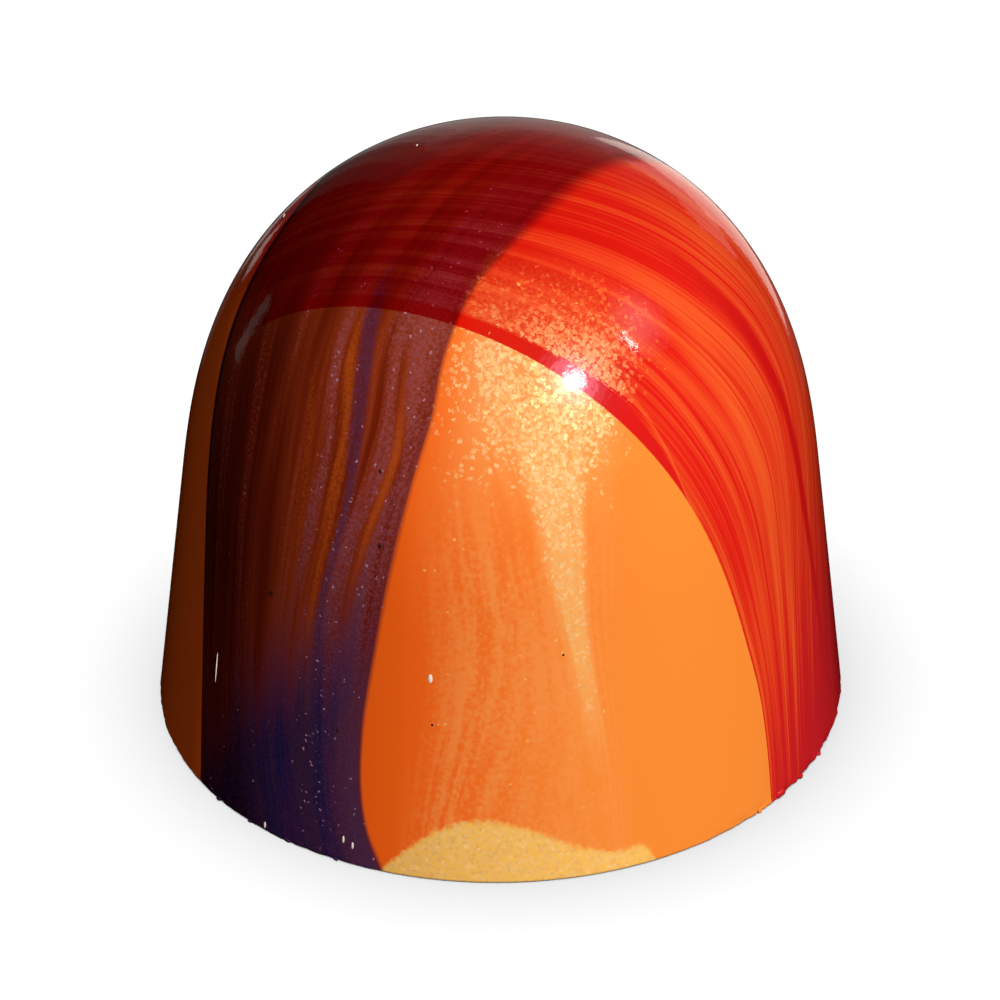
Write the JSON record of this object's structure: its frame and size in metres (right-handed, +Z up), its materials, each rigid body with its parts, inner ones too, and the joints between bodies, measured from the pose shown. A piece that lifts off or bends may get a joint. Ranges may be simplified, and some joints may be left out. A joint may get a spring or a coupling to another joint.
{
  "type": "chocolate praline",
  "caption": "Moulded dome-shaped chocolate praline with a drafted wall, a flat base and a glossy hand-brushed coat of coloured cocoa butter.",
  "frame": {"origin": "centre of the flat base, on the surface that the praline stands on", "axes": "+Z up through the dome, -Y towards the pictured side, +X to the right as seen from that side"},
  "size_m": [0.028, 0.028, 0.0237],
  "materials": {
    "painted_chocolate": "high-gloss moulded chocolate, brushed with orange, red, violet-blue and gold cocoa butter"
  },
  "bodies": {
    "root": {"praline": "painted_chocolate"}
  },
  "joints": []
}
